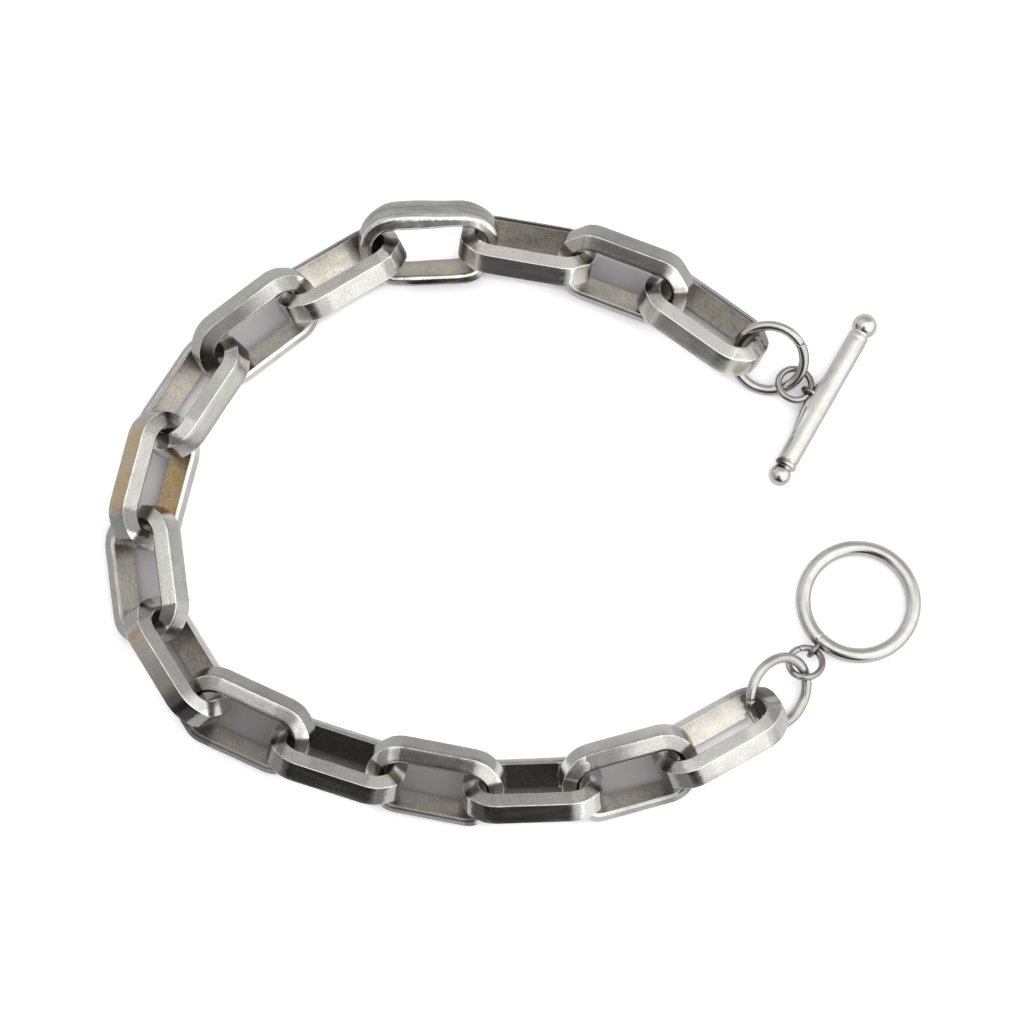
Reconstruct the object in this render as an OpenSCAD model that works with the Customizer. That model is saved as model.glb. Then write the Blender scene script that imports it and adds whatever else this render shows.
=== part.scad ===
// Toggle bracelet lying open on a table: sixteen heavy strip links that lean alternately to each side,
// a large and a small wire ring at each end, a toggle ring at one end and a toggle bar at the other.
// Millimetres, Z up, the table is z = 0, X runs along the open side.

/* [Bevelled link] */
// outside length of a link
link_l = 15.3; // [13:0.1:18]
// outside width of a link
link_w = 9.3; // [8.6:0.1:11]
// thickness of the strip, from its outer face to its inner face
strip_t = 1.8; // [1.2:0.05:2.2]
// width of the narrow outer face, between the two bevels
face_out = 2.28; // [1.6:0.02:3]
// width of the broad inner face, measured to the sharp lips
face_in = 3.9; // [3:0.02:4.4]
// how much each lip of the inner face is broken
lip = 0.35; // [0.1:0.05:0.6]
// outside radius of the link's corners
corner_r = 3.9; // [3:0.1:4.6]

/* [Polished link] */
// which link of the row is the polished one
polished_place = 4; // [2:1:15]
// outside length of the polished link
polished_l = 15.7; // [13:0.1:18]
// outside width of the polished link
polished_w = 8.9; // [8:0.1:11]
// thickness of its strip
polished_t = 1.4; // [1:0.05:2]
// width of its strip
polished_b = 3.3; // [2.6:0.1:4]
// rounding of the strip's long edges
polished_edge = 0.6; // [0.2:0.05:0.7]
// outside radius of its corners
polished_r = 4.2; // [3:0.1:4.4]

/* [Jump rings] */
// radius of the large ring to the middle of its wire
jump_r = 3.9; // [3:0.05:5]
// wire diameter of the large ring
jump_wire = 1.14; // [0.8:0.02:1.4]
// radius of the small ring to the middle of its wire
small_r = 1.84; // [1.4:0.02:2.4]
// wire diameter of the small ring
small_wire = 0.66; // [0.4:0.02:0.9]

/* [Toggle ring] */
// radius of the toggle ring to the middle of its wire
toggle_r = 6.13; // [5:0.05:8]
// wire diameter of the toggle ring
toggle_wire = 1.66; // [1.2:0.02:2.2]
// slope at which the toggle ring lies, its eye held up by the small ring
toggle_tilt = 4; // [0:0.5:10]

/* [Soldered eyes] */
// radius of an eye to the middle of its wire
eye_r = 0.76; // [0.6:0.02:1]
// wire diameter of an eye
eye_wire = 0.6; // [0.4:0.02:0.8]
// how far the middle of an eye stands off the part that carries it
eye_out = 0.5; // [0.3:0.05:0.9]

/* [Toggle bar] */
// distance between the middles of the two balls
bar_span = 19.4; // [16:0.1:24]
// diameter of the bar
bar_d = 2.3; // [1.8:0.05:3]
// diameter of the end balls
ball_d = 2.76; // [2.3:0.02:3.4]
// diameter of the collar next to each ball
collar_d = 2.6; // [2:0.05:3]
// width of the collar
collar_w = 0.45; // [0.2:0.05:1]
// diameter of the neck between collar and ball
neck_d = 1.9; // [1.2:0.05:2.2]
// length of the swelling that carries the eye
swell_l = 5.2; // [3:0.1:8]
// half height of the swelling at its middle
swell_h = 0.8; // [0.5:0.05:1]
// how far the swelling stands out past the bar
swell_out = 0.5; // [0.2:0.05:0.8]

/* [Layout] */
// height of the middle of the small ring beside the bar
bar_small_z = 1.55; // [1:0.05:2.5]
// height of the middle of the small ring beside the toggle ring
clasp_small_z = 2.35; // [1.5:0.05:3.5]
// move of the whole layout that centres its box on the origin, along X
shift_x = -0.11; // [-3:0.01:3]
// move of the whole layout that centres its box on the origin, along Y
shift_y = 1.12; // [-3:0.01:3]

/* [Hidden] */
$fn = 64;
first_link = 3;

// one row for each link: middle X, middle Y, heading of its long axis, lean of its flat plane
link_rows = [
    [ 21.2,  20.8, 144,   42],
    [ 12.4,  25.9, 159,  -50],
    [  1.8,  28.9, 170,   46],
    [ -9.2,  29.7, 183,  -47],
    [-19.2,  26.2, 211,   48],
    [-28.3,  20.0, 218,  -47],
    [-35.3,  12.42, 237.5, 42],
    [-39.5,   2.62, 256, -49.5],
    [-40.2,  -7.9, 277.5, 39],
    [-36.5, -17.7, 301.5, -51.5],
    [-29.2, -24.4, 335,   40.5],
    [-19.1, -28.7, 342,  -46],
    [ -8.4, -31.1, 349,   44],
    [  2.3, -32.0, 362,  -47],
    [ 12.9, -30.2, 375.5, 42.5],
    [ 22.75, -26.1, 389.5, -45.5]
];
function row_x(r) = r[0];
function row_y(r) = r[1];
function row_heading(r) = r[2];
function row_lean(r) = r[3];

// middle of the bar and of each ring, and the way each ring slopes down
bar_mid = [34.6, 12.5];
bar_heading = 60.5;
bar_jump_mid = [28.6, 16.9];
bar_jump_down = 259;
bar_jump_tilt = 37;
bar_small_mid = [31.5, 14.2];
bar_small_down = 45;
bar_small_tilt = 12;
clasp_jump_mid = [29.3, -20.9];
clasp_jump_down = -34;
clasp_jump_tilt = 45;
clasp_small_mid = [32.3, -17.45];
clasp_small_down = 90;
clasp_small_tilt = 19;
toggle_mid = [38.3, -10.4];
toggle_down = 45;
toggle_eye_at = 183;

steel = [0.72, 0.71, 0.70];
bright = [0.85, 0.85, 0.86];

// half of the bevelled strip's section as [depth from the outer face, half width]
bevel_slope = (face_in - face_out) / 2 / strip_t;
bevel_half = [
    [0, face_out / 2],
    [strip_t - lip, face_out / 2 + bevel_slope * (strip_t - lip)],
    [strip_t, face_in / 2 - lip]
];
// half of the polished strip's section, its edges rounded
edge_steps = 4;
polished_half = concat(
    [for (k = [0 : edge_steps])
        [polished_edge * (1 - cos(90 * k / edge_steps)),
         polished_b / 2 - polished_edge * (1 - sin(90 * k / edge_steps))]],
    [for (k = [0 : edge_steps])
        [polished_t - polished_edge * (1 - sin(90 * k / edge_steps)),
         polished_b / 2 - polished_edge * (1 - cos(90 * k / edge_steps))]]
);

// full section, drawn at the corner radius, from one side's half section
function full_section(half, r) = concat(
    [for (p = half) [r - p[0], p[1]]],
    [for (k = [len(half) - 1 : -1 : 0]) [r - half[k][0], -half[k][1]]]
);

// a strip bent into a long loop with round corners, lying flat about the origin
module strip_loop(l, w, r, half) {
    hx = l / 2 - r;
    hy = w / 2 - r;
    section = full_section(half, r);
    union() {
        for (sx = [0, 1])
            for (sy = [0, 1])
                mirror([sx, 0, 0])
                    mirror([0, sy, 0])
                        translate([hx, hy, 0])
                            rotate_extrude(angle = 90) polygon(section);
        for (sy = [0, 1])
            mirror([0, sy, 0])
                translate([-hx, hy, 0])
                    rotate([90, 0, 90])
                        linear_extrude(height = 2 * hx) polygon(section);
        for (sx = [0, 1])
            mirror([sx, 0, 0])
                translate([hx, hy, 0])
                    rotate([90, 0, 0])
                        linear_extrude(height = 2 * hy) polygon(section);
    }
}

// height at which a leaning loop rests on the lowest edge of its section
function rest_height(w, half, lean) =
    max([for (p = half) (w / 2 - p[0]) * sin(abs(lean)) + p[1] * cos(lean)]);

// the link at one place of the row, leaned and turned to its heading
module chain_link(place) {
    row = link_rows[place - 1];
    plain = place != polished_place;
    l = plain ? link_l : polished_l;
    w = plain ? link_w : polished_w;
    r = plain ? corner_r : polished_r;
    half = plain ? bevel_half : polished_half;
    color(plain ? steel : bright)
        translate([row_x(row), row_y(row), rest_height(w, half, row_lean(row))])
            rotate([0, 0, row_heading(row)])
                rotate([row_lean(row), 0, 0])
                    strip_loop(l, w, r, half);
}

// a round wire ring about the origin
module wire_ring(r, wire) {
    rotate_extrude() translate([r, 0]) circle(d = wire);
}

// moves a flat ring to its middle and slopes it down toward one heading
module place_ring(mid, z, down, tilt) {
    translate([mid[0], mid[1], z])
        rotate([0, 0, down])
            rotate([0, tilt, 0])
                children();
}

// height at which a sloping ring touches the table
function ring_height(r, wire, tilt) = r * sin(tilt) + wire / 2;

module bar_jump_ring() {
    color(bright)
        place_ring(bar_jump_mid, ring_height(jump_r, jump_wire, bar_jump_tilt), bar_jump_down, bar_jump_tilt)
            wire_ring(jump_r, jump_wire);
}

module bar_small_ring() {
    color(bright)
        place_ring(bar_small_mid, bar_small_z, bar_small_down, bar_small_tilt)
            wire_ring(small_r, small_wire);
}

module clasp_jump_ring() {
    color(bright)
        place_ring(clasp_jump_mid, ring_height(jump_r, jump_wire, clasp_jump_tilt), clasp_jump_down,
                   clasp_jump_tilt)
            wire_ring(jump_r, jump_wire);
}

module clasp_small_ring() {
    color(bright)
        place_ring(clasp_small_mid, clasp_small_z, clasp_small_down, clasp_small_tilt)
            wire_ring(small_r, small_wire);
}

// the ring that the bar passes through, with its eye soldered on the outside
module toggle_ring() {
    color(bright)
        place_ring(toggle_mid, ring_height(toggle_r, toggle_wire, toggle_tilt), toggle_down, toggle_tilt)
            union() {
                wire_ring(toggle_r, toggle_wire);
                rotate([0, 0, toggle_eye_at])
                    translate([toggle_r + toggle_wire / 2 + eye_out, 0, 0])
                        rotate([90, 0, 0]) wire_ring(eye_r, eye_wire);
            }
}

// outline of the bar from its middle to the back of one ball, as [radius, distance along the bar]
neck_end = bar_span / 2 - sqrt(pow(ball_d / 2, 2) - pow(neck_d / 2, 2)) + 0.2;
collar_at = bar_span / 2 - ball_d / 2;
bar_outline = [
    [0, 0],
    [bar_d / 2, 0],
    [bar_d / 2, collar_at - collar_w - 0.3],
    [bar_d / 2 - 0.08, collar_at - collar_w - 0.2],
    [collar_d / 2, collar_at - collar_w],
    [collar_d / 2, collar_at],
    [neck_d / 2, collar_at],
    [neck_d / 2, neck_end],
    [0, neck_end]
];

// spindle-shaped swelling along the bar, thickest at its middle
swell_steps = 10;
function swell_radius(f) = swell_h * (1 - pow(2 * f - 1, 2));
swell_outline = concat(
    [[0, -swell_l / 2]],
    [for (k = [1 : swell_steps - 1])
        [swell_radius(k / swell_steps), swell_l * (k / swell_steps - 0.5)]],
    [[0, swell_l / 2]]
);

// the bar with a ball at each end; its eye and swelling look to the side of the small ring
module toggle_bar() {
    color(bright)
        translate([bar_mid[0], bar_mid[1], ball_d / 2])
            rotate([0, 0, bar_heading])
                difference() {
                    union() {
                        for (side = [0, 1])
                            mirror([side, 0, 0])
                                rotate([0, 90, 0]) {
                                    rotate_extrude() polygon(bar_outline);
                                    translate([0, 0, bar_span / 2]) sphere(d = ball_d);
                                }
                        translate([0, bar_d / 2 + swell_out - swell_h, 0])
                            rotate([0, 90, 0]) rotate_extrude() polygon(swell_outline);
                        translate([0, bar_d / 2 + eye_out, 0])
                            rotate([0, 90, 0]) wire_ring(eye_r, eye_wire);
                    }
                    rotate([0, 0, -bar_heading])
                        translate([-bar_mid[0], -bar_mid[1], -ball_d / 2])
                            place_ring(bar_small_mid, bar_small_z, bar_small_down, bar_small_tilt)
                                wire_ring(small_r, small_wire + 0.2);
                }
}

translate([shift_x, shift_y, 0]) {
    toggle_bar();
    bar_small_ring();
    bar_jump_ring();
    for (place = [1 : len(link_rows)])
        chain_link(place);
    clasp_jump_ring();
    clasp_small_ring();
    toggle_ring();
}
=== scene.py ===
import math

import bpy
from mathutils import Matrix, Vector, noise

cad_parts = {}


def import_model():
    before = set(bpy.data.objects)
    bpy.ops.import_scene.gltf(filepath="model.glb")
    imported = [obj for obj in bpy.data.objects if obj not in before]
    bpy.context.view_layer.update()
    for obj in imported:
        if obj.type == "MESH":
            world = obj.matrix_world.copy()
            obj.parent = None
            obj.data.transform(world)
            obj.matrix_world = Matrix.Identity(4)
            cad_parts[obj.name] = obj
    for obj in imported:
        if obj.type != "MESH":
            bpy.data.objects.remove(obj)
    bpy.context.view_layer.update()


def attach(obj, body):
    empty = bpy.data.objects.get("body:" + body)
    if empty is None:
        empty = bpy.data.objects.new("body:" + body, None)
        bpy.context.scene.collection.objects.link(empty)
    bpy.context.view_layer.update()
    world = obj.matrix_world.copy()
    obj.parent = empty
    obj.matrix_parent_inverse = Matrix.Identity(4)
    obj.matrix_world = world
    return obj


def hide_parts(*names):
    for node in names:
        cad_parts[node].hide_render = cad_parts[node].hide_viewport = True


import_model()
scene = bpy.context.scene
MM = 0.001

# sizes in millimetres and degrees, as in the part's source
SHIFT = (-0.11, 1.12)
LINK = dict(length=15.3, width=9.3, corner=3.9)
# half of a bevelled link's section from its outer face inward, as (depth, across), and its corners' radii
LINK_HALF = [(0, 1.14), (1.45, 1.7925), (1.8, 1.6)]
LINK_ROUND = [0.10, 0.13, 0.09]
# the one polished link: its loop, and its strip's thickness, half width and edge radius
POLISHED_PLACE = 4
POLISHED = dict(length=15.7, width=8.9, corner=4.2)
POLISHED_T, POLISHED_HALF, POLISHED_ROUND = 1.4, 1.65, 0.6
# each link: middle x and y, the heading of its long axis, and how far its flat plane leans
ROWS = [
    (21.2, 20.8, 144, 42), (12.4, 25.9, 159, -50), (1.8, 28.9, 170, 46), (-9.2, 29.7, 183, -47),
    (-19.2, 26.2, 211, 48), (-28.3, 20.0, 218, -47), (-35.3, 12.42, 237.5, 42), (-39.5, 2.62, 256, -49.5),
    (-40.2, -7.9, 277.5, 39), (-36.5, -17.7, 301.5, -51.5), (-29.2, -24.4, 335, 40.5),
    (-19.1, -28.7, 342, -46), (-8.4, -31.1, 349, 44), (2.3, -32.0, 362, -47), (12.9, -30.2, 375.5, 42.5),
    (22.75, -26.1, 389.5, -45.5),
]
JUMP_R, JUMP_WIRE = 3.9, 1.14
# the small rings are 0.04 mm wider than in the source, and their wire 0.08 mm thicker
SMALL_R, SMALL_WIRE = 1.86, 0.74
TOGGLE_MID, TOGGLE_HEADING = (38.3, -10.4), 45
TOGGLE_R, TOGGLE_WIRE, TOGGLE_TILT, TOGGLE_EYE_AT = 6.13, 1.66, 4, 183
EYE_R, EYE_WIRE, EYE_OUT = 0.76, 0.6, 0.5
BAR_MID, BAR_HEADING, BAR_SPAN, BAR_D, BALL_D = (34.6, 12.5), 60.5, 19.4, 2.3, 2.76
COLLAR_D, COLLAR_W, SWELL_L, SWELL_OUT = 2.6, 0.45, 5.2, 0.5


# camera at the photograph's angle: 78 degrees above the table, 650 mm away
CAMERA_AT = (-0.00011, -0.13402, 0.63580)
CAMERA_TURN = 12
SENSOR_WIDTH, FOCAL_LENGTH = 36, 205.66
camera = bpy.data.objects.new("Camera", bpy.data.cameras.new("Camera"))
scene.collection.objects.link(camera)
camera.data.sensor_width = SENSOR_WIDTH
camera.data.lens = FOCAL_LENGTH
camera.data.clip_start, camera.data.clip_end = 0.01, 20
camera.location = CAMERA_AT
camera.rotation_euler = (math.radians(CAMERA_TURN), 0, 0)
scene.camera = camera
scene.view_settings.view_transform = "Standard"
scene.view_settings.look = "None"


class Nodes:
    """Short calls for building a node tree."""

    def __init__(self, tree):
        self.tree = tree
        tree.nodes.clear()

    def add(self, kind, **props):
        node = self.tree.nodes.new(kind)
        for key, value in props.items():
            setattr(node, key, value)
        return node

    def put(self, socket, value):
        if isinstance(value, bpy.types.NodeSocket):
            self.tree.links.new(value, socket)
        else:
            socket.default_value = value

    def math(self, op, *values):
        node = self.add("ShaderNodeMath", operation=op)
        for k, value in enumerate(values):
            self.put(node.inputs[k], value)
        return node.outputs[0]

    def times(self, a, b, *more):
        """The product of two values or more."""
        product = self.math("MULTIPLY", a, b)
        return self.times(product, *more) if more else product

    def plus(self, a, b):
        return self.math("ADD", a, b)

    def less(self, a, b):
        return self.math("SUBTRACT", a, b)

    def apart(self, a, b):
        """How far a is from b."""
        return self.math("ABSOLUTE", self.less(a, b))

    def where(self, here, strength):
        """A factor that is 1 where here is 0, and strength where here is 1."""
        return self.math("MULTIPLY_ADD", here, strength - 1.0, 1.0)

    def vector(self, op, a, b):
        node = self.add("ShaderNodeVectorMath", operation=op)
        self.put(node.inputs[0], a)
        self.put(node.inputs[3 if op == "SCALE" else 1], b)
        return node.outputs[1 if op in ("DOT_PRODUCT", "DISTANCE") else 0]

    def parts(self, v):
        node = self.add("ShaderNodeSeparateXYZ")
        self.put(node.inputs[0], v)
        return node.outputs

    def ramp(self, v, a, b, lo=0.0, hi=1.0):
        """A smooth change from lo at a to hi at b."""
        node = self.add("ShaderNodeMapRange", interpolation_type="SMOOTHSTEP")
        for k, value in enumerate((v, a, b, lo, hi)):
            self.put(node.inputs[k], value)
        return node.outputs[0]

    def fall(self, v, a, b):
        return self.ramp(v, a, b, 1.0, 0.0)

    def noise(self, v, scale, detail, rough):
        node = self.add("ShaderNodeTexNoise")
        self.put(node.inputs["Vector"], v)
        self.put(node.inputs["Scale"], scale)
        self.put(node.inputs["Detail"], detail)
        self.put(node.inputs["Roughness"], rough)
        return node.outputs[0]

    def drawn(self, strip, along, around, seed, detail=3, rough=0.6):
        """Noise stretched along a strip: how fast it changes along and around it, per mm."""
        node = self.add("ShaderNodeCombineXYZ")
        for k, value in enumerate((self.times(strip[0], along), self.times(strip[1], around), seed)):
            self.put(node.inputs[k], value)
        return self.noise(node.outputs[0], 1.0, detail, rough)

    def clouds(self, local, shift, scale, detail, rough):
        """Even noise through the piece, moved by shift."""
        return self.noise(self.vector("ADD", local, shift), scale, detail, rough)

    def mix(self, share, a, b):
        node = self.add("ShaderNodeMix", data_type="RGBA")
        self.put(node.inputs[0], share)
        self.put(node.inputs[6], a)
        self.put(node.inputs[7], b)
        return node.outputs[2]

    def spot(self, color, local, place, radius, inside, outside, depth, paint):
        """The colour with a soft round spot of paint, from inside to outside of the radius."""
        far = self.vector("DISTANCE", local, place)
        return self.mix(self.ramp(far, radius * inside, radius * outside, depth, 0.0), color, paint)

    def shader(self, kind, color):
        node = self.add(kind)
        self.put(node.inputs[0], color)
        return node.outputs[0]

    def seen_or_lit(self, kind, seen, lit):
        """One colour for what is seen past the steel, another for the light thrown at the steel."""
        both = self.add("ShaderNodeMixShader")
        self.put(both.inputs[0], self.add("ShaderNodeLightPath").outputs["Is Camera Ray"])
        self.put(both.inputs[1], self.shader(kind, lit))
        self.put(both.inputs[2], self.shader(kind, seen))
        return both.outputs[0]


def new_material(name):
    """A material with an empty tree, and the calls that fill it."""
    material = bpy.data.materials.new(name)
    material.use_nodes = True
    return material, Nodes(material.node_tree)


def grey(v, warm=0.0):
    """A grey of that linear value, warmer or cooler."""
    return (v * (1 + warm), v, v * (1 - 1.4 * warm), 1)


def within(v):
    """The value, kept from 0 to 1."""
    return max(0.0, min(1.0, v))


# softly lit surroundings: a pale studio whose brightness changes smoothly by direction
# azimuth (0 is +X, 90 is +Y), elevation, half angle, softness in degrees, brightness, warmth
LOBES = [
    (90, 10, 55, 25, 0.58, 0.01),
    (175, 45, 45, 20, 0.90, 0.0),
    (205, 5, 36, 20, 0.50, 0.02),
    (-60, 70, 42, 12, 1.40, 0.0),
    (-20, 22, 44, 12, 1.50, 0.0),
    (-20, 66, 14, 8, 1.80, 0.0),
    (245, 52, 14, 7, 0.20, 0.0),
    (253, 14, 29, 8, 0.06, 0.0),
]
SKY, WHITE = grey(0.66), (1.0, 1.0, 1.0, 1)
world = bpy.data.worlds.new("World")
scene.world = world
world.use_nodes = True
n = Nodes(world.node_tree)
way = n.add("ShaderNodeTexCoord").outputs["Generated"]
light = SKY
for azimuth, elevation, half, soft, bright, warm in LOBES:
    a, e = math.radians(azimuth), math.radians(elevation)
    aim = (math.cos(a) * math.cos(e), math.sin(a) * math.cos(e), math.sin(e))
    near = n.vector("DOT_PRODUCT", way, aim)
    share = n.ramp(near, math.cos(math.radians(half + soft)), math.cos(math.radians(half - soft)))
    light = n.mix(share, light, grey(bright, warm))
n.put(n.add("ShaderNodeOutputWorld").inputs[0], n.seen_or_lit("ShaderNodeBackground", WHITE, light))


# the floor, which looks white and throws a softer light back, and a painted shade on the floor inside each
# link
FLOOR_SIZE, FLOOR_SEEN, FLOOR_LIT = 6, (1.54, 1.55, 1.60, 1), (0.86, 0.86, 0.87, 1)
SHADE_SEEN, SHADE_LIT = (1.0, 0.99, 0.98), (0.45, 0.45, 0.46, 1)
# heights under the steel in mm; every shaded patch lies a step below the one before
FLOOR_Z, SHADE_Z, SHADE_STEP = -0.03, -0.02, -0.0002
# a patch's half length, half width and soft rim in mm, and its cells to a side
PATCH_LONG, PATCH_WIDE, PATCH_SOFT, PATCH_CELLS = 6.0, 3.1, 0.9, 24
# how pale the painted shade leaves the floor inside each link, where the steel around it darkens it
OPENINGS = {1: 0.78, 2: 0.50, 3: 0.85, 4: 2.3, 5: 0.85, 6: 0.65, 7: 0.95, 8: 0.66, 9: 0.58, 10: 0.52,
            11: 0.32, 12: 0.22, 13: 0.37, 14: 0.25, 15: 0.50, 16: 1.3}


def floor_output(n, seen, lit):
    n.put(n.add("ShaderNodeOutputMaterial").inputs[0], n.seen_or_lit("ShaderNodeBsdfDiffuse", seen, lit))


def shade_at(p):
    """How strongly the painted shade lies on the floor at a place in mm, and how pale it looks there."""
    most, total, tone = 0.0, 0.0, 0.0
    for place, (x, y, heading, _) in enumerate(ROWS, 1):
        a = math.radians(heading)
        dx, dy = p.x - x - SHIFT[0], p.y - y - SHIFT[1]
        long, wide = abs(dx * math.cos(a) + dy * math.sin(a)), abs(dy * math.cos(a) - dx * math.sin(a))
        rim = within((PATCH_LONG - long) / PATCH_SOFT) * within((PATCH_WIDE - wide) / PATCH_SOFT)
        rim = rim * rim * (3 - 2 * rim)
        most, total, tone = max(most, rim), total + rim, tone + rim * OPENINGS[place]
    return most, tone / total if total else 1.0


def shade_patch(mid, heading, z):
    """The places of a patch of floor in metres, and how strongly painted shade lies on it and how pale it is
    at each.
    """
    a = math.radians(heading)
    along, across = Vector((math.cos(a), math.sin(a), 0)), Vector((-math.sin(a), math.cos(a), 0))
    points, shades = [], []
    for i in range(PATCH_CELLS + 1):
        for j in range(PATCH_CELLS + 1):
            x, y = PATCH_LONG * (2 * i / PATCH_CELLS - 1), PATCH_WIDE * (2 * j / PATCH_CELLS - 1)
            p = Vector((mid[0] + SHIFT[0], mid[1] + SHIFT[1], 0)) + along * x + across * y
            points.append((p.x * MM, p.y * MM, z * MM))
            shades.append(shade_at(p))
    return points, shades


bpy.ops.mesh.primitive_plane_add(size=FLOOR_SIZE, location=(0, 0, FLOOR_Z * MM))
floor = bpy.context.object
floor.name = "floor"
material, n = new_material("floor")
floor_output(n, FLOOR_SEEN, FLOOR_LIT)
floor.data.materials.append(material)

points, cells, shades = [], [], []
for place, (x, y, heading, _) in enumerate(ROWS, 1):
    for i in range(PATCH_CELLS):
        for j in range(PATCH_CELLS):
            k = len(points) + i * (PATCH_CELLS + 1) + j
            cells.append((k, k + PATCH_CELLS + 1, k + PATCH_CELLS + 2, k + 1))
    more_points, more_shades = shade_patch((x, y), heading, SHADE_Z + SHADE_STEP * place)
    points += more_points
    shades += more_shades
mesh = bpy.data.meshes.new("floor_shade")
mesh.from_pydata(points, [], cells)
mesh.attributes.new("shade", "FLOAT", "POINT").data.foreach_set("value", [s for s, _ in shades])
mesh.attributes.new("pale", "FLOAT", "POINT").data.foreach_set("value", [p for _, p in shades])
shade = bpy.data.objects.new("floor_shade", mesh)
scene.collection.objects.link(shade)
# the patches' colour is painted shade: the floor inside each link is painted darker to stand in for the shade
# there
material, n = new_material("floor_shade")
amount = n.add("ShaderNodeAttribute", attribute_name="shade").outputs["Fac"]
pale = n.add("ShaderNodeAttribute", attribute_name="pale").outputs["Fac"]
shaded = n.mix(amount, FLOOR_SEEN, n.vector("SCALE", SHADE_SEEN, pale))
floor_output(n, shaded, n.mix(amount, FLOOR_LIT, SHADE_LIT))
mesh.materials.append(material)


# mesh helpers: each part is its vertices, its faces and the places of each face's corners on the map, in mm
# steps round a link's corner, along its long bar and along its short end
ARC_STEPS, BAR_STEPS, END_STEPS = 24, 16, 2
# half the angle that a corner filed flat takes from its bend
FACET = math.radians(18.75)
# flats longer than this in mm are divided into so many steps
LONG_FLAT, FLAT_STEPS = 0.3, 4
# mm to one unit of the map, and how strongly large faces lead the shading
MAP_UNIT, FACE_WEIGHT = 100, 90


def rounded(points, radii, steps):
    """A closed outline with its corners rounded and its flats divided."""
    count = len(points)
    corners = []
    for k in range(count):
        a, b, c = (Vector(points[j % count]) for j in (k - 1, k, k + 1))
        u, v = (a - b).normalized(), (c - b).normalized()
        angle = math.acos(u.dot(v))
        back = radii[k] / math.tan(angle / 2)
        middle = b + (u + v).normalized() * radii[k] / math.sin(angle / 2)
        start, end = b + u * back - middle, b + v * back - middle
        turn = start.angle_signed(end)
        arc = []
        for j in range(steps + 1):
            t = -turn * j / steps
            arc.append(middle + Vector((start.x * math.cos(t) - start.y * math.sin(t),
                                        start.x * math.sin(t) + start.y * math.cos(t))))
        corners.append(arc)
    out = []
    for k in range(count):
        out += corners[k]
        a, b = corners[k][-1], corners[(k + 1) % count][0]
        if (b - a).length > LONG_FLAT:
            out += [a.lerp(b, j / FLAT_STEPS) for j in range(1, FLAT_STEPS)]
    return out


def section(half, radii, steps):
    """A whole section from its half, as (depth, across), starting at the middle of the inner face."""
    points = half + [(d, -w) for d, w in reversed(half)]
    outline = [tuple(p) for p in rounded(points, radii + radii[::-1], steps)]
    depth = max(d for d, _ in outline)
    k = min(range(len(outline)), key=lambda j: (abs(outline[j][0] - depth) > 1e-6, abs(outline[j][1])))
    return outline[k:] + outline[:k]


def lengths(points):
    """How far each point of a closed outline is along it, with the whole length at the end."""
    out = [0.0]
    for k, point in enumerate(points):
        out.append(out[-1] + math.dist(point, points[(k + 1) % len(points)]))
    return out


def loop_path(length, width, corner):
    """Places round a long loop, from the middle of the bar at +v: x, y, the outward way as x and y, and how
    far a corner that is filed flat lies inside its bend."""
    hx, hy = length / 2 - corner, width / 2 - corner
    places = []

    def straight(x0, y0, x1, y1, ox, oy, count):
        for k in range(count):
            f = k / count
            places.append((x0 + (x1 - x0) * f, y0 + (y1 - y0) * f, ox, oy, 0.0))

    def bend(cx, cy, start):
        for k in range(ARC_STEPS):
            t, off = math.radians(start + 90 * k / ARC_STEPS), math.radians(abs(90 * k / ARC_STEPS - 45))
            inset = max(0.0, corner * (1 - math.cos(FACET) / math.cos(min(off, FACET))))
            ox, oy = math.cos(t), math.sin(t)
            places.append((cx + corner * ox, cy + corner * oy, ox, oy, inset))

    straight(0, hy + corner, -hx, hy + corner, 0, 1, BAR_STEPS // 2)
    bend(-hx, hy, 90)
    straight(-hx - corner, hy, -hx - corner, -hy, -1, 0, END_STEPS)
    bend(-hx, -hy, 180)
    straight(-hx, -hy - corner, hx, -hy - corner, 0, -1, BAR_STEPS)
    bend(hx, -hy, 270)
    straight(hx + corner, -hy, hx + corner, hy, 1, 0, END_STEPS)
    bend(hx, hy, 0)
    straight(hx, hy + corner, 0, hy + corner, 0, 1, BAR_STEPS // 2)
    return places


def swept(rings, along, around, closed=True, turned=False):
    """Quads over rings of points, with caps where the sweep is open. along and around hold the map's places,
    with one more entry than there are points where it is closed. Turned faces look the other way."""
    k = len(rings[0])
    faces, uvs = [], []
    for i in range(len(rings) if closed else len(rings) - 1):
        j = (i + 1) % len(rings)
        for q in range(k):
            r = (q + 1) % k
            faces.append((i * k + q, j * k + q, j * k + r, i * k + r))
            uvs.append([(along[i], around[q]), (along[i + 1], around[q]),
                        (along[i + 1], around[q + 1]), (along[i], around[q + 1])])
    if not closed:
        last = (len(rings) - 1) * k
        faces += [tuple(range(k)), tuple(range(last, last + k))[::-1]]
        uvs += [[(along[0], 0.0)] * k] * 2
    if turned:
        faces = [face[::-1] for face in faces]
        uvs = [corners[::-1] for corners in uvs]
    return [p for ring in rings for p in ring], faces, uvs


def placed(mid, z, heading, tilt, axis="X"):
    """The matrix that sets a piece down at mid and z in mm, turned to its heading, tilted about axis."""
    place = Matrix.Translation(((mid[0] + SHIFT[0]) * MM, (mid[1] + SHIFT[1]) * MM, z * MM))
    place = place @ Matrix.Rotation(math.radians(heading), 4, "Z")
    return place @ Matrix.Rotation(math.radians(tilt), 4, axis)


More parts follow.
